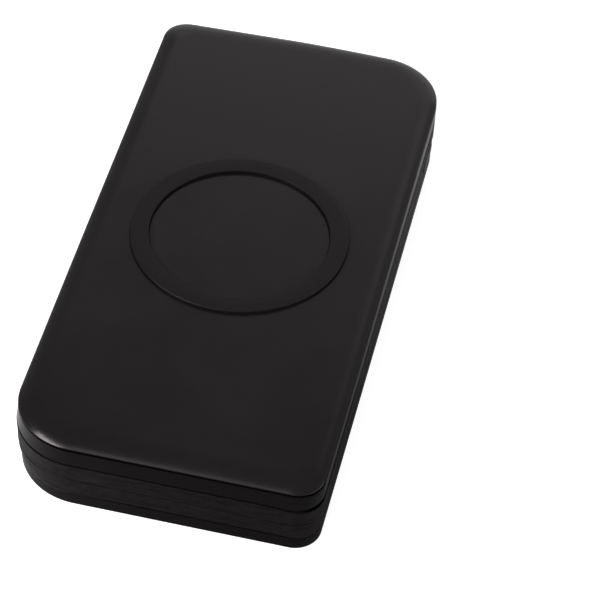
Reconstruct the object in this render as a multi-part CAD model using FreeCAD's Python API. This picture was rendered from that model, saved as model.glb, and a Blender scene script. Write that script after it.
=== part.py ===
import FreeCAD, Part
import math
import os

V = FreeCAD.Vector

# ---------------------------------------------------------------------------
# Wireless power bank: a flat slab in four mouldings round two pouch cells,
# a charging coil under the top panel and one circuit board at the far end.
# Millimetres. Origin at the middle of the underside, +Z up, +Y to the far
# end (the end with the sockets), +X to the wall with the button.
# ---------------------------------------------------------------------------

# outline, measured at the shadow gap under the top panel
WIDTH = 67.0            # X
LENGTH = 137.1          # Y
HEIGHT = 18.70          # underside to the flat of the top panel
R_LARGE = 14.4          # near-left and far-right corners
R_SMALL = 6.0           # near-right and far-left corners
R_LOWER_EXTRA = 0.5     # the lower mouldings turn the large corners wider

# heights of the joints between the mouldings
Z_GAP_LOW, Z_GAP_HIGH = 16.40, 16.86    # shadow gap under the top panel
Z_SEAM1_LOW, Z_SEAM1_HIGH = 11.98, 12.36
Z_LIP1 = 12.61                          # lower lip of the upper frame, over the seam
Z_STEP_LOW, Z_STEP_HIGH = 7.42, 7.79    # undercut step in the middle band
Z_SEAM3_LOW, Z_SEAM3_HIGH = 3.26, 3.39
Z_LIP3 = 3.60                           # lower lip of the middle frame, over the seam

# how far each band stands out of (+) or in from (-) the outline
OFF_UPPER_TOP, OFF_UPPER_BOTTOM = 0.0, 0.20
OFF_MID_TOP, OFF_MID_STEP_HIGH, OFF_MID_STEP_LOW, OFF_MID_BOTTOM = 0.02, -0.03, -0.17, -0.22
OFF_BASE = -0.18

R_ROLL = 6.85           # radius of the top panel's rolled edge
ROLL_OUT = 2.17         # that radius ends this far outside the outline
R_BASE = 0.8            # rounding of the underside's edge
T_TOP = 1.55            # top panel thickness
T_FLOOR = 1.6           # base thickness
SKIRT_OUT, SKIRT_IN, Z_SKIRT = -1.70, -2.85, 14.10
FRAME_IN = -1.55        # inner wall of the upper frame beside the skirt
LEDGE_IN, Z_LEDGE = -3.30, 14.10
MID_IN = -2.00          # inner wall of the middle frame
TONGUE_OUT, TONGUE_IN = -2.10, -3.20
LAND_OUT = -1.10        # inside this the mouldings touch, outside it the seams stay open
LIP_OUT = -0.75         # inside this the upper frame reaches down to the seam
OFF_STEP_CUT = -0.45    # bottom of the undercut at the step
Z_TONGUE_UP, Z_TONGUE_DOWN = 11.10, 4.45

# non-slip ring
RING_R_OUT, RING_R_IN = 24.0, 19.9
RING_PROUD, RING_SUNK, RING_PLAY, RING_EDGE = 0.8, 0.6, 0.10, 0.22

# cells
CELL_W, CELL_Y0, CELL_Y1 = 58.0, -58.0, 38.0
CELL_T = 5.2
CELL_TERRACE = 3.4
Z_CELL_LOW, Z_CELL_HIGH = 1.85, 7.25

# coil under the ring
COIL_R_OUT, COIL_R_IN, Z_COIL0, Z_COIL1 = 21.6, 10.2, 15.35, 16.50
FERRITE, Z_FER0, Z_FER1 = 49.0, 14.60, 15.30
CARRIER_W, CARRIER_L, Z_CAR0, Z_CAR1 = 57.0, 72.0, 13.60, 14.60

# board at the far end
BOARD_Y0, BOARD_OFF, Z_BOARD0, Z_BOARD1 = 45.2, -3.7, 3.60, 4.60

# sockets in the far end
USBA_X, USBA_W, USBA_H, USBA_Y0, USBA_Y1 = -17.0, 13.1, 5.7, 54.0, 68.0
USBC_X, USBC_W, USBC_H, USBC_Y0, USBC_Y1 = -1.0, 8.94, 3.26, 60.4, 68.0
SHEET = 0.3
SOCKET_PLAY = 0.2

# indicator dots
LED_X = (8.2, 11.2, 14.2, 17.2)
LED_Z, LED_R = 6.3, 0.8

# button in the right wall
BTN_Y, BTN_Z, BTN_L, BTN_H = 48.6, 6.90, 9.0, 3.2
BTN_TRAVEL = 0.4
BTN_PROUD_X = 33.62
BTN_PLAY = 0.15

os.makedirs("parts", exist_ok=True)
NODES = {}


# --------------------------------------------------------------- helpers
def outline(off, z, extra=0.0):
    """Leaf outline at height z, off millimetres outside the nominal one."""
    a, b = WIDTH / 2 + off, LENGTH / 2 + off
    rl, rs = R_LARGE + off + extra, max(R_SMALL + off, 0.6)
    s = math.sqrt(0.5)

    def p(x, y):
        return V(x, y, z)

    def arc(p0, cx, cy, r, dx, dy, p1):
        return Part.Arc(p0, p(cx + r * dx * s, cy + r * dy * s), p1).toShape()

    p0, p1 = p(-a + rl, -b), p(a - rs, -b)
    p2, p3 = p(a, -b + rs), p(a, b - rl)
    p4, p5 = p(a - rl, b), p(-a + rs, b)
    p6, p7 = p(-a, b - rs), p(-a, -b + rl)
    edges = [
        Part.LineSegment(p0, p1).toShape(), arc(p1, a - rs, -b + rs, rs, 1, -1, p2),
        Part.LineSegment(p2, p3).toShape(), arc(p3, a - rl, b - rl, rl, 1, 1, p4),
        Part.LineSegment(p4, p5).toShape(), arc(p5, -a + rs, b - rs, rs, -1, 1, p6),
        Part.LineSegment(p6, p7).toShape(), arc(p7, -a + rl, -b + rl, rl, -1, -1, p0),
    ]
    return Part.Wire(edges)


def prism(off, z0, z1, extra=0.0):
    return Part.Face(outline(off, z0, extra)).extrude(V(0, 0, z1 - z0))


def stack(*sections, extra=0.0):
    """Ruled solid through (offset, height) sections."""
    return Part.makeLoft([outline(o, z, extra) for o, z in sections], True, True)


def ring_wall(outer, off_in, z0, z1, extra=0.0):
    return outer.cut(prism(off_in, z0 - 1, z1 + 1, extra))


def box(x0, y0, z0, x1, y1, z1):
    return Part.makeBox(x1 - x0, y1 - y0, z1 - z0, V(x0, y0, z0))


def rbox(x0, y0, z0, x1, y1, z1, r, axis="z"):
    """Box with its four edges along one axis rounded."""
    b = box(x0, y0, z0, x1, y1, z1)
    k = {"x": 0, "y": 1, "z": 2}[axis]
    edges = []
    for e in b.Edges:
        q0, q1 = e.Vertexes[0].Point, e.Vertexes[1].Point
        d = [abs(q0[i] - q1[i]) for i in range(3)]
        if d[k] > 1e-6 and sum(d) - d[k] < 1e-6:
            edges.append(e)
    return b.makeFillet(r, edges)


def cyl(r, x, y, z0, z1):
    return Part.makeCylinder(r, z1 - z0, V(x, y, z0), V(0, 0, 1))


def edges_at_z(shape, z):
    return [e for e in shape.Edges if all(abs(v.Z - z) < 1e-5 for v in e.Vertexes)]


def tube(points, radii, r):
    """Round wire along straight runs joined by tangent arcs."""
    edges, last = [], points[0]
    for i in range(1, len(points) - 1):
        a, b, c = points[i - 1], points[i], points[i + 1]
        u, w = (a - b).normalize(), (c - b).normalize()
        half = u.getAngle(w) / 2
        t = radii[i - 1] / math.tan(half)
        q0, q1 = b + u * t, b + w * t
        bis = (u + w).normalize()
        centre = b + bis * (radii[i - 1] / math.sin(half))
        mid = centre - bis * radii[i - 1]
        edges.append(Part.LineSegment(last, q0).toShape())
        edges.append(Part.Arc(q0, mid, q1).toShape())
        last = q1
    edges.append(Part.LineSegment(last, points[-1]).toShape())
    path = Part.Wire(edges)
    start = (points[1] - points[0]).normalize()
    prof = Part.Wire(Part.makeCircle(r, points[0], start))
    return path.makePipeShell([prof], True, False)


def put(name, shape):
    if isinstance(shape, (list, tuple)):
        shape = Part.makeCompound(list(shape))
    elif len(shape.Solids) == 1:
        shape = shape.Solids[0]
    NODES[name] = shape


# ---------------------------------------------------------------- housing
# places where a screw ties the upper frame to the middle frame
aL, bL = WIDTH / 2, LENGTH / 2
d = 9.9
LUGS = [
    (-aL + R_LARGE + d * math.cos(math.radians(250)), -bL + R_LARGE + d * math.sin(math.radians(250))),
    (aL - R_LARGE + d * math.cos(math.radians(70)), bL - R_LARGE + d * math.sin(math.radians(70))),
    (aL - R_SMALL + 1.35, -bL + R_SMALL - 1.35),
    (-aL + R_SMALL - 1.35, bL - R_SMALL + 1.35),
]
LUG_R, SCREW_R, HEAD_R, Z_LUG = 2.6, 1.0, 1.9, 8.1

# top panel: rolled edge, hollow below, skirt that drops inside the frame
blank = prism(ROLL_OUT, HEIGHT - R_ROLL - 0.5, HEIGHT)
blank = blank.makeFillet(R_ROLL, edges_at_z(blank, HEIGHT))
hollow = prism(ROLL_OUT - T_TOP, 10.0, HEIGHT - T_TOP)
hollow = hollow.makeFillet(R_ROLL - T_TOP, edges_at_z(hollow, HEIGHT - T_TOP))
top = blank.cut(box(-60, -90, 0, 60, 90, Z_GAP_HIGH)).cut(hollow)
skirt = ring_wall(prism(SKIRT_OUT, Z_SKIRT, Z_GAP_HIGH + 0.35), SKIRT_IN, Z_SKIRT, Z_GAP_HIGH + 0.35)
top = top.fuse(skirt).removeSplitter()
seat = cyl(RING_R_OUT + RING_PLAY, 0, 0, HEIGHT - RING_SUNK, HEIGHT + 2).cut(
    cyl(RING_R_IN - RING_PLAY, 0, 0, HEIGHT - RING_SUNK - 1, HEIGHT + 3))
top = top.cut(seat)
put("top_cover", top)

# non-slip ring in its seat
ring = cyl(RING_R_OUT, 0, 0, HEIGHT - RING_SUNK, HEIGHT + RING_PROUD).cut(
    cyl(RING_R_IN, 0, 0, HEIGHT - RING_SUNK - 1, HEIGHT + RING_PROUD + 1))
ring = ring.makeFillet(RING_EDGE, edges_at_z(ring, HEIGHT + RING_PROUD))
put("grip_ring", ring)

# upper frame: flares out downwards, ledge inside, tongue into the frame below
uf = stack((OFF_UPPER_BOTTOM - 0.06, Z_LIP1), (OFF_UPPER_BOTTOM, Z_LIP1 + 0.06),
           (OFF_UPPER_TOP, Z_GAP_LOW - 0.06), (OFF_UPPER_TOP - 0.06, Z_GAP_LOW))
uf = uf.fuse(prism(LIP_OUT, Z_SEAM1_HIGH, Z_LIP1 + 0.3))
uf = uf.cut(prism(FRAME_IN, Z_LEDGE, Z_GAP_LOW + 1)).cut(prism(LEDGE_IN, Z_SEAM1_HIGH - 1, Z_LEDGE + 1))
tongue = ring_wall(prism(TONGUE_OUT, Z_TONGUE_UP, Z_SEAM1_HIGH + 0.4), TONGUE_IN, Z_TONGUE_UP, Z_SEAM1_HIGH + 0.4)
uf = uf.fuse(tongue)
for x, y in LUGS:
    lug = cyl(LUG_R, x, y, Z_TONGUE_UP, Z_LEDGE).common(prism(TONGUE_OUT, 0, 20))
    uf = uf.fuse(lug)
for x, y in LUGS:
    uf = uf.cut(cyl(SCREW_R + 0.02, x, y, Z_TONGUE_UP - 1, Z_LEDGE - 0.6))
put("upper_frame", uf.removeSplitter())

# middle frame: striated band with a step, open for sockets, dots and button
mf = stack((OFF_MID_BOTTOM - 0.06, Z_LIP3), (OFF_MID_BOTTOM, Z_LIP3 + 0.06), (OFF_MID_STEP_LOW, Z_STEP_LOW),
           (OFF_MID_STEP_HIGH, Z_STEP_HIGH), (OFF_MID_TOP, Z_SEAM1_LOW - 0.06), (OFF_MID_TOP - 0.06, Z_SEAM1_LOW),
           extra=R_LOWER_EXTRA)
mf = mf.cut(prism(2.0, Z_STEP_LOW, Z_STEP_HIGH, R_LOWER_EXTRA).cut(
    prism(OFF_STEP_CUT, Z_STEP_LOW - 1, Z_STEP_HIGH + 1, R_LOWER_EXTRA)))
mf = mf.fuse(prism(LAND_OUT, Z_SEAM1_LOW - 0.5, Z_SEAM1_HIGH))
mf = mf.fuse(prism(LAND_OUT, Z_SEAM3_HIGH, Z_LIP3 + 0.5, R_LOWER_EXTRA))
mf = ring_wall(mf, MID_IN, Z_SEAM3_HIGH, Z_SEAM1_HIGH)
for x, y in LUGS:
    mf = mf.fuse(cyl(LUG_R, x, y, Z_LUG, Z_TONGUE_UP).common(prism(MID_IN + 0.6, 0, 20)))
for x, y in LUGS:
    mf = mf.cut(cyl(SCREW_R + 0.2, x, y, Z_LUG - 1, Z_TONGUE_UP + 1))
z_usb = Z_BOARD1 + 0.05
mf = mf.cut(rbox(USBA_X - USBA_W / 2 - SOCKET_PLAY, 60, z_usb - SOCKET_PLAY,
                 USBA_X + USBA_W / 2 + SOCKET_PLAY, 75, z_usb + USBA_H + SOCKET_PLAY, 0.6, "y"))
mf = mf.cut(rbox(USBC_X - USBC_W / 2 - SOCKET_PLAY, 60, z_usb - SOCKET_PLAY,
                 USBC_X + USBC_W / 2 + SOCKET_PLAY, 75, z_usb + USBC_H + SOCKET_PLAY, 1.75, "y"))
for x in LED_X:
    mf = mf.cut(Part.makeCylinder(LED_R + 0.06, 15, V(x, 60, LED_Z), V(0, 1, 0)))
mf = mf.cut(rbox(28, BTN_Y - BTN_L / 2 - BTN_PLAY, BTN_Z - BTN_H / 2 - BTN_PLAY,
                 40, BTN_Y + BTN_L / 2 + BTN_PLAY, BTN_Z + BTN_H / 2 + BTN_PLAY, BTN_H / 2 + BTN_PLAY - 0.02, "x"))
put("middle_frame", mf.removeSplitter())

# base: rounded lower edge, tongue up into the frame, two posts for the board
BOARD_POSTS = [(-25.4, 49.0), (20.6, 56.0)]
base = prism(OFF_BASE, 0, Z_SEAM3_LOW, R_LOWER_EXTRA)
base = base.makeFillet(R_BASE, edges_at_z(base, 0.0))
base = base.makeChamfer(0.06, edges_at_z(base, Z_SEAM3_LOW))
base = base.fuse(prism(LAND_OUT, Z_SEAM3_LOW - 0.5, Z_SEAM3_HIGH))
base = base.cut(prism(TONGUE_IN, T_FLOOR, 10))
tongue = ring_wall(prism(TONGUE_OUT, Z_SEAM3_LOW - 0.4, Z_TONGUE_DOWN), TONGUE_IN, Z_SEAM3_LOW - 0.4, Z_TONGUE_DOWN)
base = base.fuse(tongue)
for x, y in BOARD_POSTS:
    base = base.fuse(cyl(2.3, x, y, T_FLOOR - 0.3, Z_BOARD0))
for x, y in BOARD_POSTS:
    base = base.cut(cyl(0.82, x, y, T_FLOOR - 0.5, Z_BOARD0 + 1))
put("bottom_cover", base.removeSplitter())

# screws: flat head below the lug of the middle frame
def frame_screw(x, y):
    z0 = Z_LUG - 1.1
    head = cyl(HEAD_R, x, y, z0, Z_LUG)
    head = head.makeFillet(0.25, edges_at_z(head, z0))
    drive = box(x - 1.1, y - 0.2, z0 - 0.1, x + 1.1, y + 0.2, z0 + 0.45).fuse(
        box(x - 0.2, y - 1.1, z0 - 0.1, x + 0.2, y + 1.1, z0 + 0.45))
    return head.cut(drive).fuse(cyl(SCREW_R, x, y, Z_LUG, Z_LUG + 5.2)).removeSplitter().Solids[0]


put("frame_screws", [frame_screw(x, y) for x, y in LUGS])

# ---------------------------------------------------------------- battery
def cell(z0):
    body = rbox(-CELL_W / 2, CELL_Y0, z0, CELL_W / 2, CELL_Y1, z0 + CELL_T, 2.0, "z")
    rim = [e for e in body.Edges if abs(e.Vertexes[0].Z - e.Vertexes[-1].Z) < 1e-6]
    body = body.makeFillet(0.9, rim)
    zm = z0 + CELL_T / 2
    flap = box(-CELL_W / 2 + 3, CELL_Y1 - 2, zm - 0.6, CELL_W / 2 - 3, CELL_Y1 + CELL_TERRACE, zm + 0.6)
    return body.fuse(flap).removeSplitter()


put("battery_cell_lower", cell(Z_CELL_LOW))
put("battery_cell_upper", cell(Z_CELL_HIGH))
Y_PROT0, Y_PROT1 = 42.7, 43.5
put("protection_board", box(-25, Y_PROT0, 2.2, 25, Y_PROT1, 11.6))
tabs = []
for zc in (Z_CELL_LOW + CELL_T / 2, Z_CELL_HIGH + CELL_T / 2):
    for x in (-14.0, 9.0):
        tabs.append(box(x, CELL_Y1 + CELL_TERRACE, zc - 0.1, x + 5.0, Y_PROT0, zc + 0.1))
put("cell_tabs", tabs)
put("adhesive_pad_lower", box(-24, -50, T_FLOOR, 24, 30, Z_CELL_LOW))
put("adhesive_pad_middle", box(-24, -50, Z_CELL_LOW + CELL_T, 24, 30, Z_CELL_HIGH))
put("foam_pad", rbox(-25, -32, Z_CELL_HIGH + CELL_T, 25, 32, Z_CAR0, 2.0))

LEAD_R = 0.75
for name, x in (("battery_lead_red", -8.0), ("battery_lead_black", -4.8)):
    put(name, tube([V(x, Y_PROT1, 8.9), V(x, 48.4, 8.9), V(x, 48.4, Z_BOARD1)], [2.4], LEAD_R))

# ------------------------------------------------------------ coil module
coil = cyl(COIL_R_OUT, 0, 0, Z_COIL0, Z_COIL1).cut(cyl(COIL_R_IN, 0, 0, Z_COIL0 - 1, Z_COIL1 + 1))
put("charging_coil", coil)
put("ferrite_sheet", rbox(-FERRITE / 2, -FERRITE / 2, Z_FER0, FERRITE / 2, FERRITE / 2, Z_FER1, 3.0))
carrier = rbox(-CARRIER_W / 2, -CARRIER_L / 2, Z_CAR0, CARRIER_W / 2, CARRIER_L / 2, Z_CAR1, 4.0)
fence = rbox(-FERRITE / 2 - 1.2, -FERRITE / 2 - 1.2, Z_CAR1, FERRITE / 2 + 1.2, FERRITE / 2 + 1.2, Z_FER1, 4.0)
fence = fence.cut(rbox(-FERRITE / 2 - 0.15, -FERRITE / 2 - 0.15, Z_CAR1 - 1, FERRITE / 2 + 0.15,
                       FERRITE / 2 + 0.15, Z_FER1 + 1, 3.0))
put("coil_carrier", carrier.fuse(fence).removeSplitter())
leads = []
for x in (-1.6, 1.6):
    y0 = math.sqrt(COIL_R_OUT ** 2 - x ** 2) + 0.25
    leads.append(tube([V(x, y0, 15.95), V(x, 51.6, 15.95), V(x, 51.6, Z_BOARD1)], [3.2], 0.5).Solids[0])
put("coil_leads", leads)
put("thermistor", rbox(11.0, 22.6, Z_FER1 - 0.0, 13.2, 24.2, Z_FER1 + 1.0, 0.4))

# ------------------------------------------------------------- main board
board = prism(BOARD_OFF, Z_BOARD0, Z_BOARD1).common(box(-60, BOARD_Y0, 0, 60, 90, 20))
for x, y in BOARD_POSTS:
    board = board.cut(cyl(1.0, x, y, 0, 10))
put("main_board", board)


def board_screw(x, y):
    head = cyl(1.7, x, y, Z_BOARD1, Z_BOARD1 + 1.0)
    head = head.makeFillet(0.35, edges_at_z(head, Z_BOARD1 + 1.0))
    drive = box(x - 1.0, y - 0.2, Z_BOARD1 + 0.5, x + 1.0, y + 0.2, Z_BOARD1 + 2).fuse(
        box(x - 0.2, y - 1.0, Z_BOARD1 + 0.5, x + 0.2, y + 1.0, Z_BOARD1 + 2))
    return head.cut(drive).fuse(cyl(0.8, x, y, T_FLOOR - 0.2, Z_BOARD1)).removeSplitter().Solids[0]


put("board_screws", [board_screw(x, y) for x, y in BOARD_POSTS])

# type A socket: folded sheet shell, plastic insert with its tongue, contacts
x0, x1 = USBA_X - USBA_W / 2, USBA_X + USBA_W / 2
za0, za1 = z_usb, z_usb + USBA_H
shell = rbox(x0, USBA_Y0, za0, x1, USBA_Y1, za1, 0.5, "y")
shell = shell.cut(rbox(x0 + SHEET, USBA_Y0 - 1, za0 + SHEET, x1 - SHEET, USBA_Y1 + 1, za1 - SHEET, 0.25, "y"))
put("usb_a_shell", shell)
ins = rbox(x0 + SHEET + 0.05, USBA_Y0 + 0.2, za0 + SHEET + 0.05, x1 - SHEET - 0.05, USBA_Y0 + 4.4,
           za1 - SHEET - 0.05, 0.3, "y")
zt0 = za1 - SHEET - 0.35 - 1.84
tongue = rbox(USBA_X - 5.55, USBA_Y0 + 4.4, zt0, USBA_X + 5.55, USBA_Y1 - 1.2, zt0 + 1.84, 0.4, "y")
ins = ins.fuse(tongue)
contacts = []
for k in (-3.5, -1.0, 1.0, 3.5):
    xc = USBA_X + k
    strip = box(xc - 0.5, USBA_Y0 + 4.4, zt0 - 0.12, xc + 0.5, USBA_Y1 - 2.2, zt0)
    contacts.append(strip)
put("usb_a_insert", ins.removeSplitter())
put("usb_a_contacts", contacts)

# type C socket: drawn shell and centre tongue
x0, x1 = USBC_X - USBC_W / 2, USBC_X + USBC_W / 2
zc0, zc1 = z_usb, z_usb + USBC_H
shell = rbox(x0, USBC_Y0, zc0, x1, USBC_Y1, zc1, 1.55, "y")
shell = shell.cut(rbox(x0 + SHEET, USBC_Y0 + 1.0, zc0 + SHEET, x1 - SHEET, USBC_Y1 + 1, zc1 - SHEET, 1.27, "y"))
put("usb_c_shell", shell)
zm = (zc0 + zc1) / 2
put("usb_c_tongue", rbox(USBC_X - 3.34, USBC_Y0 + 1.0, zm - 0.35, USBC_X + 3.34, USBC_Y1 - 1.0, zm + 0.35, 0.3, "z"))

# indicator: four chips on the board, one clear moulding with four pins
put("led_chips", [rbox(x - 0.9, 63.2, Z_BOARD1, x + 0.9, 64.3, Z_BOARD1 + 2.6, 0.2) for x in LED_X])
guide = box(LED_X[0] - 1.4, 64.9, LED_Z - 1.0, LED_X[-1] + 1.4, 66.0, LED_Z + 1.0)
for x in LED_X:
    pin = Part.makeCylinder(LED_R, LENGTH / 2 - 0.25 - 65.5, V(x, 65.5, LED_Z), V(0, 1, 0))
    guide = guide.fuse(pin)
put("light_guide", guide.removeSplitter())

# button, side-push switch and its stem
cap = rbox(31.3, BTN_Y - BTN_L / 2, BTN_Z - BTN_H / 2, BTN_PROUD_X, BTN_Y + BTN_L / 2, BTN_Z + BTN_H / 2,
           BTN_H / 2 - 0.02, "x")
face = [e for e in cap.Edges if all(abs(v.X - BTN_PROUD_X) < 1e-5 for v in e.Vertexes)]
cap = cap.makeFillet(0.2, face)
flange = rbox(30.3, BTN_Y - BTN_L / 2 - 1.1, BTN_Z - BTN_H / 2 - 0.65, 31.3, BTN_Y + BTN_L / 2 + 1.1,
              BTN_Z + BTN_H / 2 + 0.65, 0.8, "x")
put("power_button", cap.fuse(flange).removeSplitter())
sw = rbox(25.4, BTN_Y - 3.0, Z_BOARD1, 29.4, BTN_Y + 3.0, Z_BOARD1 + 4.4, 0.3, "z")
sw = sw.cut(box(26.8, BTN_Y - 1.55, BTN_Z - 1.0, 30, BTN_Y + 1.55, BTN_Z + 1.0))
put("tact_switch", sw)
put("switch_stem", rbox(27.5, BTN_Y - 1.4, BTN_Z - 0.85, 30.3, BTN_Y + 1.4, BTN_Z + 0.85, 0.2, "x"))

# chips and passives on the board
zb = Z_BOARD1
put("charger_chip", box(-13.6, 46.6, zb, -9.6, 50.6, zb + 0.9).fuse(
    box(-13.9, 46.9, zb, -9.3, 50.3, zb + 0.2)).removeSplitter())
put("transmitter_chip", box(6.0, 49.0, zb, 11.0, 54.0, zb + 0.9).fuse(
    box(5.7, 49.3, zb, 11.3, 53.7, zb + 0.2)).removeSplitter())
put("power_inductors", [rbox(x, y, zb, x + 6.6, y + 6.6, zb + 3.0, 0.8) for x, y in ((-21.0, 46.4), (6.0, 55.4))])
put("mosfets", [box(x, 46.2, zb, x + 3.0, 48.6, zb + 1.0) for x in (6.0, 10.0, 14.0, 18.0)])
put("tank_capacitors", [box(x, 50.0, zb, x + 3.2, 52.5, zb + 2.5) for x in (12.6, 16.4)])
caps = []
for x in (-7.4, -3.6):
    c = cyl(1.6, x + 0.4, 55.2, zb, zb + 5.4)
    caps.append(c.makeFillet(0.3, edges_at_z(c, zb + 5.4)))
put("bulk_capacitors", caps)

# ------------------------------------------------------------------ write
for name, shape in NODES.items():
    bad = [s for s in shape.Solids if not s.isValid()]
    print("%-20s solids %d volume %.2f %s" % (name, len(shape.Solids), shape.Volume, "INVALID" if bad else ""))
    shape.exportStep("parts/%s.step" % name)
print(len(NODES), "nodes")
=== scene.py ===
import math

import bmesh
import bpy
from mathutils import Matrix, Vector


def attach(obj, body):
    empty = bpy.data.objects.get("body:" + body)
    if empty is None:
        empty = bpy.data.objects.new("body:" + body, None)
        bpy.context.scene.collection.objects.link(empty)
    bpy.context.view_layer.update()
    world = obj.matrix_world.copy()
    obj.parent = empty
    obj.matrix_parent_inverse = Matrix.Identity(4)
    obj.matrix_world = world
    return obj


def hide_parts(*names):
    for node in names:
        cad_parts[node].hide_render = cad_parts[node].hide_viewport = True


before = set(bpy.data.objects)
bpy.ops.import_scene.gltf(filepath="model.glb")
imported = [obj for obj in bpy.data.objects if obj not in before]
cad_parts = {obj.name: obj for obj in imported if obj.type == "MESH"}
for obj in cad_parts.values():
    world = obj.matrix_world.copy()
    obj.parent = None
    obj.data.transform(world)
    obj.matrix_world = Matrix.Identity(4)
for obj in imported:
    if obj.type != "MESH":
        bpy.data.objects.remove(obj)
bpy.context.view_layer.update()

scene = bpy.context.scene
MM = 0.001

# ------------------------------------------------------------------ camera
AZ, EL, ROLL = math.radians(10.229), math.radians(45.535), math.radians(3.685)
DIST, TARGET = 635.0, Vector((15.71, -7.39, 10.0))
LENS = 174.13

back = Vector((math.sin(AZ) * math.cos(EL), -math.cos(AZ) * math.cos(EL), math.sin(EL)))
right = (-back).cross(Vector((0, 0, 1))).normalized()
up = right.cross(-back)
cam_x = right * math.cos(ROLL) + up * math.sin(ROLL)
cam_y = -right * math.sin(ROLL) + up * math.cos(ROLL)
cam_data = bpy.data.cameras.new("camera_main")
cam_data.sensor_width = 36.0
cam_data.sensor_fit = "HORIZONTAL"
cam_data.lens = LENS
cam_data.clip_start, cam_data.clip_end = 0.01, 50.0
cam = bpy.data.objects.new("camera_main", cam_data)
scene.collection.objects.link(cam)
place = Matrix((cam_x, cam_y, back)).transposed().to_4x4()
place.translation = (TARGET + back * DIST) * MM
cam.matrix_world = place
scene.camera = cam

scene.view_settings.view_transform = "Standard"
scene.view_settings.look = "None"

# ------------------------------------------------------------- node helpers
class Tree:
    def __init__(self, name):
        self.mat = bpy.data.materials.new(name)
        self.mat.use_nodes = True
        self.nodes, self.links = self.mat.node_tree.nodes, self.mat.node_tree.links
        self.bsdf = self.nodes["Principled BSDF"]
        self.coord = self.nodes.new("ShaderNodeTexCoord")

    def node(self, kind, **values):
        n = self.nodes.new(kind)
        for key, value in values.items():
            setattr(n, key, value)
        return n

    def mapped(self, scale):
        m = self.node("ShaderNodeMapping")
        m.inputs["Scale"].default_value = scale
        self.links.new(self.coord.outputs["Object"], m.inputs["Vector"])
        return m.outputs["Vector"]

    def noise(self, scale, detail=3.0, rough=0.55, stretch=None, distortion=0.0):
        n = self.node("ShaderNodeTexNoise")
        n.inputs["Scale"].default_value = scale
        n.inputs["Detail"].default_value = detail
        n.inputs["Roughness"].default_value = rough
        n.inputs["Distortion"].default_value = distortion
        vector = self.mapped(stretch) if stretch else self.coord.outputs["Object"]
        self.links.new(vector, n.inputs["Vector"])
        return n.outputs["Fac"]

    def voronoi(self, scale, feature="F1", stretch=None):
        n = self.node("ShaderNodeTexVoronoi", feature=feature)
        n.inputs["Scale"].default_value = scale
        vector = self.mapped(stretch) if stretch else self.coord.outputs["Object"]
        self.links.new(vector, n.inputs["Vector"])
        return n.outputs["Distance"]

    def math(self, op, a, b):
        n = self.node("ShaderNodeMath", operation=op)
        for socket, v in zip(n.inputs, (a, b)):
            if isinstance(v, (int, float)):
                socket.default_value = v
            else:
                self.links.new(v, socket)
        return n.outputs["Value"]

    def ramp(self, fac, stops):
        n = self.node("ShaderNodeValToRGB")
        el = n.color_ramp.elements
        while len(el) < len(stops):
            el.new(0.5)
        for e, (pos, col) in zip(el, stops):
            e.position = pos
            e.color = (col, col, col, 1) if isinstance(col, (int, float)) else (*col, 1)
        self.links.new(fac, n.inputs["Fac"])
        return n.outputs["Color"]

    def span(self, fac, low, high, a=0.3, b=0.7):
        n = self.node("ShaderNodeMapRange")
        n.inputs["From Min"].default_value = a
        n.inputs["From Max"].default_value = b
        n.inputs["To Min"].default_value = low
        n.inputs["To Max"].default_value = high
        self.links.new(fac, n.inputs["Value"])
        return n.outputs["Result"]

    def bump(self, height, strength, distance, under=None):
        n = self.node("ShaderNodeBump")
        n.inputs["Strength"].default_value = strength
        n.inputs["Distance"].default_value = distance
        self.links.new(height, n.inputs["Height"])
        if under is not None:
            self.links.new(under, n.inputs["Normal"])
        return n.outputs["Normal"]

    def set(self, socket, value):
        s = self.bsdf.inputs[socket]
        if isinstance(value, bpy.types.NodeSocket):
            self.links.new(value, s)
        else:
            s.default_value = value


def shades(rgb, low, high):
    return [tuple(c * low for c in rgb), tuple(c * high for c in rgb)]


NEUTRAL, WARM = (1.0, 1.0, 1.0, 1.0), (1.0, 0.90, 0.93, 1.0)


def plastic(name, rgb, rough, grain=2600.0, depth=0.000006, spec=0.5, mottle=0.10, rough_play=0.05, strength=0.35, sheen=NEUTRAL):
    """Moulded or coated plastic: fine grain, faint mottling, slightly uneven gloss."""
    t = Tree(name)
    slow = t.noise(55.0, 4.0, 0.6)
    lo, hi = shades(rgb, 1 - mottle, 1 + mottle)
    t.set("Base Color", t.ramp(slow, [(0.3, lo), (0.7, hi)]))
    fine = t.noise(grain, 2.0, 0.6)
    t.set("Roughness", t.span(slow, rough - rough_play, rough + rough_play))
    t.set("Specular IOR Level", spec)
    t.set("Specular Tint", sheen)
    t.set("Normal", t.bump(fine, strength, depth))
    return t.mat


def metal(name, rgb, rough, stretch, scale=900.0, depth=0.000004, play=0.12):
    """Drawn or stamped metal: fine lines along one direction, uneven gloss."""
    t = Tree(name)
    lines = t.noise(scale, 4.0, 0.65, stretch=stretch)
    slow = t.noise(120.0, 3.0, 0.5)
    lo, hi = shades(rgb, 0.86, 1.06)
    t.set("Base Color", t.ramp(slow, [(0.3, lo), (0.7, hi)]))
    t.set("Metallic", 1.0)
    t.set("Roughness", t.span(lines, rough - play / 2, rough + play / 2))
    t.set("Normal", t.bump(lines, 0.25, depth))
    return t.mat


MATS = {}
MATS["shell_black"] = plastic("shell_black", (0.0098, 0.0087, 0.0091), 0.23, spec=0.33, rough_play=0.03, grain=3400.0, depth=0.000022, strength=0.45, sheen=WARM)
MATS["frame_black"] = plastic("frame_black", (0.0066, 0.0055, 0.0059), 0.16, spec=0.15, rough_play=0.03, sheen=WARM)
MATS["base_black"] = plastic("base_black", (0.0072, 0.0060, 0.0064), 0.30, spec=0.135, rough_play=0.04, sheen=WARM)


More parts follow.
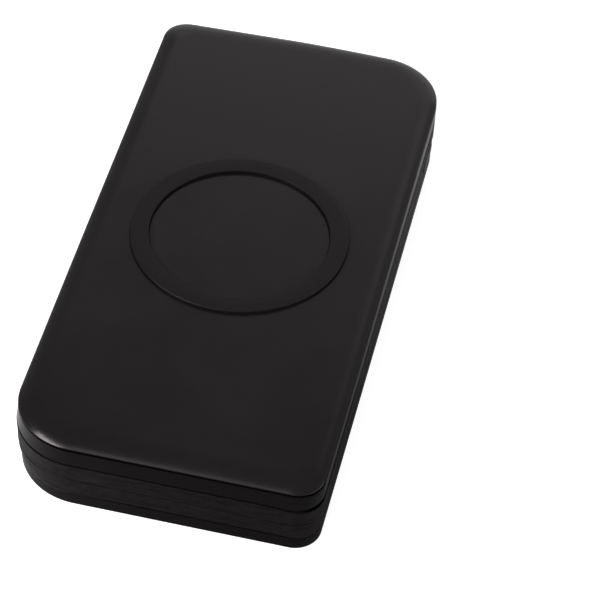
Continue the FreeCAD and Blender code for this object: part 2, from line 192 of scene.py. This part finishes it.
def band(name, rgb, rough, spec=0.25):
    """Striated wall: fine uneven lines round the body."""
    t = Tree(name)
    t.set("Specular IOR Level", spec)
    t.set("Specular Tint", WARM)
    lines = t.noise(1.0, 5.0, 0.7, stretch=(620.0, 620.0, 3400.0))
    broad = t.noise(1.0, 3.0, 0.6, stretch=(170.0, 170.0, 1250.0))
    both = t.math("ADD", t.math("MULTIPLY", lines, 0.65), t.math("MULTIPLY", broad, 0.35))
    lo, hi = shades(rgb, 0.42, 1.58)
    t.set("Base Color", t.ramp(both, [(0.36, lo), (0.64, hi)]))
    t.set("Roughness", t.span(both, rough + 0.12, rough - 0.12))
    t.set("Normal", t.bump(both, 0.6, 0.00004))
    return t.mat


MATS["band_black"] = band("band_black", (0.0114, 0.0096, 0.0101), 0.44, spec=0.15)
MATS["silicone_black"] = plastic("silicone_black", (0.0074, 0.0063, 0.0066), 0.48, grain=4200.0, depth=0.000008, spec=0.24, sheen=WARM)
MATS["button_black"] = plastic("button_black", (0.0100, 0.0087, 0.0091), 0.34, grain=5200.0, spec=0.3, sheen=WARM)
MATS["steel"] = metal("steel", (0.56, 0.55, 0.53), 0.30, (1.0, 0.06, 1.0))
MATS["insert_black"] = plastic("insert_black", (0.012, 0.012, 0.013), 0.5, grain=6000.0)
MATS["contact_gold"] = metal("contact_gold", (0.80, 0.55, 0.22), 0.25, (1.0, 0.05, 1.0))
MATS["clear_guide"] = plastic("clear_guide", (0.62, 0.62, 0.60), 0.30, grain=3000.0)
MATS["led_white"] = plastic("led_white", (0.75, 0.72, 0.55), 0.4, grain=5000.0)
MATS["cell_foil"] = metal("cell_foil", (0.58, 0.59, 0.60), 0.38, (1.0, 1.0, 1.0), scale=500.0, depth=0.00002)
MATS["nickel"] = metal("nickel", (0.62, 0.58, 0.51), 0.30, (0.1, 1.0, 1.0))
MATS["board_green"] = plastic("board_green", (0.012, 0.085, 0.030), 0.35, grain=3000.0, mottle=0.2)
MATS["chip_black"] = plastic("chip_black", (0.018, 0.018, 0.019), 0.55, grain=6000.0)
MATS["inductor_grey"] = plastic("inductor_grey", (0.07, 0.07, 0.072), 0.6, grain=4000.0, mottle=0.25)
MATS["ceramic_tan"] = plastic("ceramic_tan", (0.32, 0.21, 0.11), 0.45, grain=5000.0)
MATS["can_aluminium"] = metal("can_aluminium", (0.72, 0.73, 0.74), 0.30, (1.0, 1.0, 0.06))
MATS["copper"] = metal("copper", (0.78, 0.36, 0.18), 0.28, (1.0, 1.0, 1.0))
MATS["ferrite"] = plastic("ferrite", (0.035, 0.035, 0.037), 0.65, grain=3500.0, mottle=0.25)
MATS["carrier_white"] = plastic("carrier_white", (0.55, 0.55, 0.53), 0.45)
MATS["foam_grey"] = plastic("foam_grey", (0.05, 0.05, 0.052), 0.85, grain=1800.0, depth=0.00008, mottle=0.3, strength=0.8)
MATS["tape_white"] = plastic("tape_white", (0.6, 0.6, 0.58), 0.5)
MATS["lead_red"] = plastic("lead_red", (0.36, 0.018, 0.014), 0.42)
MATS["lead_black"] = plastic("lead_black", (0.014, 0.014, 0.015), 0.42)
MATS["screw_steel"] = metal("screw_steel", (0.46, 0.45, 0.43), 0.32, (1.0, 1.0, 0.1))

for name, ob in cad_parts.items():
    own = ob.data.materials[0].name.split(".")[0] if ob.data.materials else "shell_black"
    ob.data.materials.clear()
    ob.data.materials.append(MATS[own])

# -------------------------------------------------------------- mould shapes
# Millimetres here; everything becomes metres when a mesh is made.
WIDTH, LENGTH, HEIGHT = 67.0, 137.1, 18.70
R_LARGE, R_SMALL = 14.4, 6.0
R_LID_EXTRA, R_BASE_EXTRA = -0.2, 0.75
# the bands belly out a little on the left towards the near end: (height, how far)
BELLY_LID = [(0.0, 0.09), (20.0, 0.09)]
BELLY_UPPER = [(12.64, 0.26), (16.34, 0.09)]
BELLY_MIDDLE = [(3.6, -0.15), (4.6, 0.12), (5.8, 0.42), (7.4, 0.55), (7.8, 0.40), (9.65, 0.37), (11.9, 0.50)]


def smooth(v, start, end):
    f = min(max((v - start) / (end - start), 0.0), 1.0)
    return f * f * (3 - 2 * f)


def belly(xy, z, table):
    """A ring pushed out to the left by the amount that the table gives for its height."""
    amount = table[0][1] if z <= table[0][0] else table[-1][1]
    for (z0, c0), (z1, c1) in zip(table, table[1:]):
        if z0 < z <= z1:
            amount = c0 + (c1 - c0) * (z - z0) / (z1 - z0)
    return [(x - amount * smooth(x, -10.0, -27.0) * smooth(y, 35.0, -15.0), y) for x, y in xy]


def aslant(xy):
    """The far edge of the top panel and upper band runs slightly aslant: in at the left corner, out at the middle."""
    out = []
    for x, y in xy:
        if x < -27.7:
            dy = -0.37 * smooth(x, -34.0, -27.7)
        elif x < -3.0:
            dy = -0.37 + 0.0312 * (x + 27.7)
        elif x < 5.0:
            t = (x + 3.0) / 8.0
            dy = 0.40 + 0.06 * t * t * (3 - 2 * t) + 0.25 * t * (1 - t) ** 2
        else:
            dy = 0.46 * (1 - smooth(x, 5.0, 32.0))
        out.append((x, y + dy * smooth(y, 48.0, 66.0)))
    return out


def ring_xy(off, extra=0.0, follow=1.0):
    """Points of the leaf outline, off millimetres outside the nominal one; every ring has the same count."""
    a, b = WIDTH / 2 + off, LENGTH / 2 + off
    rl, rs = R_LARGE + off + extra, max(R_SMALL + off * follow, 0.5)
    corners = [
        (a - rs, -b + rs, rs, -90, 24), (a - rl, b - rl, rl, 0, 40),
        (-a + rs, b - rs, rs, 90, 24), (-a + rl, -b + rl, rl, 180, 40),
    ]
    runs = [76, 30, 76, 30]
    pts = []
    for i, (cx, cy, r, start, seg) in enumerate(corners):
        for k in range(seg + 1):
            t = math.radians(start + 90.0 * k / seg)
            pts.append((cx + r * math.cos(t), cy + r * math.sin(t)))
        nx, ny, nr, ns, _ = corners[(i + 1) % 4]
        t = math.radians(ns)
        x1, y1 = nx + nr * math.cos(t), ny + nr * math.sin(t)
        x0, y0 = pts[-1]
        for k in range(1, runs[i]):
            f = k / runs[i]
            pts.append((x0 + (x1 - x0) * f, y0 + (y1 - y0) * f))
    return pts


def skin(bm, rings, closed=False):
    """Quads between rings of vertices."""
    n = len(rings[0])
    pairs = list(zip(rings, rings[1:]))
    if closed:
        pairs.append((rings[-1], rings[0]))
    for p, q in pairs:
        for i in range(n):
            j = (i + 1) % n
            bm.faces.new((p[i], p[j], q[j], q[i]))


def add_ring(bm, xy, z):
    return [bm.verts.new((x * MM, y * MM, z * MM)) for x, y in xy]


def finish_mesh(bm, name, mat, angle=32.0):
    bmesh.ops.recalc_face_normals(bm, faces=bm.faces[:])
    me = bpy.data.meshes.new(name)
    bm.to_mesh(me)
    bm.free()
    for p in me.polygons:
        p.use_smooth = True
    me.set_sharp_from_angle(angle=math.radians(angle))
    ob = bpy.data.objects.new(name, me)
    scene.collection.objects.link(ob)
    me.materials.append(mat)
    return ob


def flat_shading(ob):
    m = ob.modifiers.new("even_normals", "WEIGHTED_NORMAL")
    m.mode = "FACE_AREA"
    m.weight = 60
    m.keep_sharp = True


def stand_for(ob, node, body="housing"):
    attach(ob, body)
    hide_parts(node)
    return ob


def disc(bm, ring, centre):
    """Closes a ring with a fan of triangles."""
    c = bm.verts.new([v * MM for v in centre])
    n = len(ring)
    for i in range(n):
        bm.faces.new((ring[i], ring[(i + 1) % n], c))


def polar(ring, r):
    out = []
    for x, y in ring:
        d = math.hypot(x, y)
        out.append((x / d * r, y / d * r))
    return out


def mix(p, q, f):
    return [(a[0] + (b[0] - a[0]) * f, a[1] + (b[1] - a[1]) * f) for a, b in zip(p, q)]


# top panel: flat, a seat for the ring, a long soft roll and a fine lip
ROLL_W, ROLL_DROP, ROLL_POWER = 5.8, 1.76, 3.0
SEAT_OUT, SEAT_IN, SEAT_Z = 24.1, 19.7, 18.10

bm = bmesh.new()
inner = ring_xy(-ROLL_W, R_LID_EXTRA, follow=0.45)
rings = []
rings.append(add_ring(bm, polar(inner, SEAT_IN), HEIGHT))
rings.append(add_ring(bm, polar(inner, SEAT_IN), SEAT_Z))
rings.append(add_ring(bm, polar(inner, SEAT_OUT), SEAT_Z))
rings.append(add_ring(bm, polar(inner, SEAT_OUT), HEIGHT))
for f in (0.33, 0.67):
    rings.append(add_ring(bm, mix(polar(inner, SEAT_OUT), inner, f), HEIGHT))
steps, roll_end = 26, 0.957
for k in range(steps + 1):
    s = roll_end * k / steps
    d = ROLL_W * (1 - s)
    xy = aslant(belly(ring_xy(0.11 - d, R_LID_EXTRA, follow=0.45), HEIGHT, BELLY_LID))
    rings.append(add_ring(bm, xy, HEIGHT - ROLL_DROP * s ** ROLL_POWER))
edge_off, edge_z = 0.11 - ROLL_W * (1 - roll_end), HEIGHT - ROLL_DROP * roll_end ** ROLL_POWER
lean = math.atan(ROLL_DROP * ROLL_POWER * roll_end ** (ROLL_POWER - 1) / ROLL_W)
fillet = (edge_z - 16.975) / math.cos(lean)
for k in range(1, 6):
    t = lean + (math.pi / 2 - lean) * k / 5
    off, z = edge_off + fillet * (math.sin(t) - math.sin(lean)), edge_z - fillet * (math.cos(lean) - math.cos(t))
    rings.append(add_ring(bm, aslant(belly(ring_xy(off, R_LID_EXTRA, follow=0.45), z, BELLY_LID)), z))
for off, z in ((off - 0.02, 16.96), (-0.16, 16.96), (-1.70, 16.96),
               (-1.70, 14.10), (-2.85, 14.10), (-2.85, 16.80), (-3.9, 17.13)):
    rings.append(add_ring(bm, aslant(belly(ring_xy(off, R_LID_EXTRA), z, BELLY_LID)), z))
skin(bm, rings)
disc(bm, rings[0], (0, 0, HEIGHT))
disc(bm, rings[-1], (0, 0, 17.13))
top = finish_mesh(bm, "top_cover_skin", MATS["shell_black"])
flat_shading(top)
stand_for(top, "top_cover")

# upper band: flares out downwards; its lips stay crisp and a rebate behind the upper one keeps the gap dark
bm = bmesh.new()
profile = [(-1.55, 15.55), (-0.22, 15.55), (-0.16, 16.36), (-0.12, 16.40), (-0.06, 16.40), (-0.02, 16.385), (0.0, 16.34)]
profile += [(0.14 * f, 16.34 + (12.64 - 16.34) * f) for f in (0.25, 0.5, 0.75, 1.0)]
profile += [(0.13, 12.59), (0.09, 12.57), (-0.75, 12.57), (-0.75, 12.36), (-1.10, 12.36), (-1.10, 12.40), (-3.30, 12.40), (-3.30, 14.10), (-1.55, 14.10)]
rings = []
for o, z in profile:
    xy = aslant(belly(ring_xy(o), z, BELLY_UPPER))
    tuck = 0.16 * smooth(z, 16.34, 12.64)
    rings.append(add_ring(bm, [(x - tuck * smooth(x, 24.0, 33.0), y) for x, y in xy], z))
skin(bm, rings, closed=True)
upper = finish_mesh(bm, "upper_frame_skin", MATS["frame_black"])
flat_shading(upper)
stand_for(upper, "upper_frame")


# middle band: two tiers of fine uneven lines with a shallow undercut between
class Lcg:
    def __init__(self, seed):
        self.s = seed

    def next(self):
        self.s = (self.s * 1103515245 + 12345) % 2147483648
        return self.s / 2147483648


def lined(z_top, z_bottom, off_top, off_bottom, rnd):
    """Outer face of a tier from its top down, cut by fine grooves of uneven depth and spacing."""
    out, z = [], z_top
    while True:
        gap = 0.16 + 0.26 * rnd.next()
        depth = 0.008 + 0.024 * rnd.next() ** 2
        half = 0.045 + 0.02 * rnd.next()
        if z - gap - 2 * half < z_bottom + 0.12:
            break
        z -= gap
        f = (z_top - z) / (z_top - z_bottom)
        o = off_top + (off_bottom - off_top) * f
        out += [(o, z), (o - depth, z - half), (o, z - 2 * half)]
        z -= 2 * half
    return out


rnd = Lcg(20417)
profile = [(-1.10, 12.36), (-1.10, 11.30), (-0.20, 11.30), (-0.11, 11.94), (-0.07, 11.98), (-0.03, 11.98), (0.01, 11.965), (0.02, 11.93)]
profile += lined(11.93, 7.84, 0.02, -0.03, rnd)
profile += [(-0.03, 7.84), (-0.045, 7.80), (-0.09, 7.79), (-0.45, 7.79), (-0.45, 7.15), (-0.27, 7.15), (-0.23, 7.40), (-0.20, 7.42), (-0.17, 7.39)]
profile += lined(7.39, 3.66, -0.17, -0.22, rnd)
profile += [(-0.22, 3.66), (-0.235, 3.62), (-0.28, 3.605), (-1.10, 3.605), (-1.10, 3.39), (-2.00, 3.39), (-2.00, 12.36)]


def settle(x, y, z):
    """The lower lip comes down on the left and at the near right corner, where the seam under it closes up;
    the upper lip sags round the near right corner, where the seam over it opens up."""
    if 3.60 < z < 3.67:
        corner = smooth(x, 26.5, 31.5) * smooth(y, -38.0, -56.0)
        return z - 0.32 * max(smooth(x, -4.0, -18.0), 0.9 * corner)
    if 10.2 < z < 12.0:
        return z - LIP_SAG * smooth(x, 21.0, 31.5) * smooth(y, -20.0, -58.0) * (z - 10.2) / 1.78
    return z


LIP_SAG = 0.66
bm = bmesh.new()
rings = []
for o, z in profile:
    xy = belly(ring_xy(o), z, BELLY_MIDDLE)
    rings.append([bm.verts.new((x * MM, y * MM, settle(x, y, z) * MM)) for x, y in xy])
skin(bm, rings, closed=True)
middle = finish_mesh(bm, "middle_frame_skin", MATS["band_black"])


def rrect(hw, hh, r, seg=8):
    pts = []
    r = min(r, hw, hh)
    for cx, cy, start in ((hw - r, -hh + r, -90), (hw - r, hh - r, 0), (-hw + r, hh - r, 90), (-hw + r, -hh + r, 180)):
        for k in range(seg + 1):
            t = math.radians(start + 90.0 * k / seg)
            pts.append((cx + r * math.cos(t), cy + r * math.sin(t)))
    return pts


def loft(bm, axis, centre, sections, caps=True, seg=8):
    """Rounded oblongs strung along X or Y: sections are (place, half width, half height, corner radius)."""
    rings = []
    for place, hw, hh, r in sections:
        ring = []
        for u, w in rrect(hw, hh, r, seg):
            if axis == "y":
                co = (centre[0] + u, place, centre[1] + w)
            else:
                co = (place, centre[0] + u, centre[1] + w)
            ring.append(bm.verts.new([c * MM for c in co]))
        rings.append(ring)
    skin(bm, rings)
    if caps:
        bm.faces.new(rings[0])
        bm.faces.new(rings[-1])
    return rings


def flare(start, out, hw, hh, r, lip, wall, reach):
    """Sections of a cutter that opens over a rounded lip where it meets the wall."""
    sign = 1 if wall > start else -1
    secs = [(start, hw, hh, r)]
    for k in range(6):
        t = math.radians(90.0 * k / 5)
        grow = lip * (1 - math.cos(t))
        secs.append((wall - sign * lip * (1 - math.sin(t)), hw + grow, hh + grow, r + grow))
    secs.append((wall + sign * reach, hw + lip, hh + lip, r + lip))
    return secs


cutters = bmesh.new()
loft(cutters, "y", (-17.0, 7.5), flare(60, 0, 6.75, 3.05, 0.7, 0.22, 68.36, 2.0))
loft(cutters, "y", (-1.0, 6.28), flare(60, 0, 4.67, 1.83, 1.83, 0.22, 68.36, 2.0), seg=12)
for x in (8.2, 11.2, 14.2, 17.2):
    loft(cutters, "y", (x, 6.3), flare(60, 0, 0.86, 0.86, 0.86, 0.10, 68.35, 2.0), seg=10)
loft(cutters, "x", (48.6, 6.9), flare(28, 0, 4.65, 1.75, 1.73, 0.16, 33.30, 2.0), seg=12)
bmesh.ops.recalc_face_normals(cutters, faces=cutters.faces[:])
me = bpy.data.meshes.new("cutters")
cutters.to_mesh(me)
cutters.free()
cut = bpy.data.objects.new("cutters", me)
scene.collection.objects.link(cut)
mod = middle.modifiers.new("openings", "BOOLEAN")
mod.operation, mod.solver, mod.object = "DIFFERENCE", "EXACT", cut
bpy.context.view_layer.update()
done = bpy.data.meshes.new_from_object(middle.evaluated_get(bpy.context.evaluated_depsgraph_get()))
middle.modifiers.clear()
middle.data = done
bpy.data.objects.remove(cut)
for p in middle.data.polygons:
    p.use_smooth = True
middle.data.set_sharp_from_angle(angle=math.radians(32.0))
flat_shading(middle)
stand_for(middle, "middle_frame")

# base: crisp upper lip, rounded lower edge
bm = bmesh.new()
profile = [(-3.20, 3.39), (-1.10, 3.39), (-1.10, 3.26), (-0.25, 3.26), (-0.20, 3.245), (-0.18, 3.20), (-0.18, 2.0)]
for k in range(9):
    t = math.radians(90.0 * k / 8)
    profile.append((-0.18 - 0.6 * (1 - math.cos(t)), 0.6 - 0.6 * math.sin(t)))
rings = [add_ring(bm, ring_xy(o, R_BASE_EXTRA), z) for o, z in [(-3.20, 1.6)] + profile]
skin(bm, rings)
disc(bm, rings[0], (0, 0, 1.6))
disc(bm, rings[-1], (0, 0, 0))
base = finish_mesh(bm, "bottom_cover_skin", MATS["base_black"])
flat_shading(base)
stand_for(base, "bottom_cover")

# ring: soft square section with rounded shoulders, very slightly crowned
bm = bmesh.new()
profile = [(19.9, 18.1)]
for k in range(7):
    t = math.radians(90.0 * k / 6)
    profile.append((19.9 + 0.15 * (1 - math.cos(t)), 19.47 - 0.15 * (1 - math.sin(t))))
profile += [(20.9, 19.49), (21.95, 19.50), (23.0, 19.49)]
for k in range(7):
    t = math.radians(90.0 - 90.0 * k / 6)
    profile.append((24.0 - 0.26 * (1 - math.cos(t)), 19.46 - 0.26 * (1 - math.sin(t))))
profile += [(24.0, 18.1)]
turns = 200
rings = []
for r, z in profile:
    rings.append(add_ring(bm, [(r * math.cos(2 * math.pi * i / turns), r * math.sin(2 * math.pi * i / turns)) for i in range(turns)], z))
skin(bm, rings, closed=True)
grip = finish_mesh(bm, "grip_ring_skin", MATS["silicone_black"])
flat_shading(grip)
stand_for(grip, "grip_ring")

# ------------------------------------------------------------------- stage
def sheet(name, z, half, segments=1):
    me = bpy.data.meshes.new(name)
    me.from_pydata([(-half, -half, z), (half, -half, z), (half, half, z), (-half, half, z)], [], [(0, 1, 2, 3)])
    ob = bpy.data.objects.new(name, me)
    scene.collection.objects.link(ob)
    return ob


def stage_mat(name, rgb, glow):
    t = Tree(name)
    soft = t.noise(3.0, 2.0, 0.5)
    lo, hi = shades(rgb, 0.985, 1.0)
    t.set("Base Color", t.ramp(soft, [(0.3, lo), (0.7, hi)]))
    t.set("Roughness", 0.9)
    t.set("Specular IOR Level", 0.0)
    t.set("Emission Color", (1, 1, 1, 1))
    # Painted light: the surface glows though it is no lamp, at full strength beyond 0.5 m from its middle and down to
    # the given glow within 0.12 m, so the floor round the object is painted a little darker and the lamps' shadows show
    # there; the backdrop lies farther out and glows evenly
    reach = t.node("ShaderNodeVectorMath", operation="LENGTH")
    t.links.new(t.coord.outputs["Object"], reach.inputs[0])
    t.set("Emission Strength", t.span(reach.outputs["Value"], glow, 1.0, 0.12, 0.5))
    return t.mat


floor = sheet("stage_floor", -0.00003, 4.0)
floor.data.materials.append(stage_mat("stage_white", (0.86, 0.86, 0.86), 0.76))
table = sheet("stage_table", -0.00006, 4.0)
t = Tree("stage_grey_painted_light")
across = t.node("ShaderNodeVectorMath", operation="DOT_PRODUCT")
across.inputs[1].default_value = (-0.8, 0.6, 0.0)
t.links.new(t.coord.outputs["Object"], across.inputs[0])
# Painted light and shade: this floor, seen only in reflections, is painted darkest to the front and right, brightest
# beside the left and dimmer again far off to the left and back, standing in for where the lamps light and shade the
# floor
t.set("Base Color", t.ramp(t.span(across.outputs["Value"], 0.0, 1.0, -0.055, 0.185),
                           [(0.0, 0.27), (0.06, 0.33), (0.25, 0.98), (0.45, 1.0), (0.75, 0.74)]))
t.set("Roughness", 0.9)
t.set("Specular IOR Level", 0.0)
table.data.materials.append(t.mat)
table.visible_camera = False

me = bpy.data.meshes.new("stage_wall")
around = [(3.9 * math.cos(2 * math.pi * i / 64), 3.9 * math.sin(2 * math.pi * i / 64)) for i in range(64)]
me.from_pydata(
    [(x, y, -0.01) for x, y in around] + [(x, y, 4.0) for x, y in around], [],
    [(i, (i + 1) % 64, 64 + (i + 1) % 64, 64 + i) for i in range(64)],
)
wall = bpy.data.objects.new("stage_wall", me)
scene.collection.objects.link(wall)
wall.data.materials.append(stage_mat("stage_backdrop", (0.86, 0.86, 0.86), 0.9))
for ob in (floor, wall):
    for kind in ("visible_diffuse", "visible_glossy", "visible_transmission", "visible_shadow"):
        setattr(ob, kind, False)

world = bpy.data.worlds.new("studio")
scene.world = world
world.use_nodes = True
bg = world.node_tree.nodes["Background"]
bg.inputs["Color"].default_value = (1.0, 1.0, 1.0, 1)
bg.inputs["Strength"].default_value = 0.22


def softbox(name, where, aim, size, radiance, shape="RECTANGLE"):
    d = bpy.data.lights.new(name, "AREA")
    d.shape = shape
    d.size, d.size_y = size
    area = size[0] * size[1] * (math.pi / 4 if shape == "ELLIPSE" else 1.0)
    d.energy = radiance * math.pi * area
    ob = bpy.data.objects.new(name, d)
    scene.collection.objects.link(ob)
    ob.location = where
    ob.rotation_mode = "QUATERNION"
    ob.rotation_quaternion = (Vector(aim) - Vector(where)).to_track_quat("-Z", "Y")
    return ob


softbox("key_left", (-0.5225, -0.4785, 0.5436), (0, 0, 0.01), (0.50, 0.29), 13.5)
softbox("far_panel", (0.10, 1.20, 0.10), (0.10, 0, 0.10), (2.24, 2.12), 0.20, "ELLIPSE")
softbox("far_mid", (0.10, 1.195, 0.53), (0.10, 0, 0.53), (1.4, 1.15), 0.25)
softbox("far_band", (0.25, 1.19, 0.93), (0.25, 0, 0.93), (1.4, 0.35), 0.31)
softbox("far_low", (0.20, 1.185, 0.32), (0.20, 0, 0.32), (1.2, 0.50), 0.11)
softbox("front_fill", (-0.216, -0.756, 0.906), (0, 0, 0), (0.5, 0.25), 1.3)
softbox("right_soft", (1.15, -0.15, 0.36), (0, -0.05, 0.05), (1.3, 0.66), 2.4)
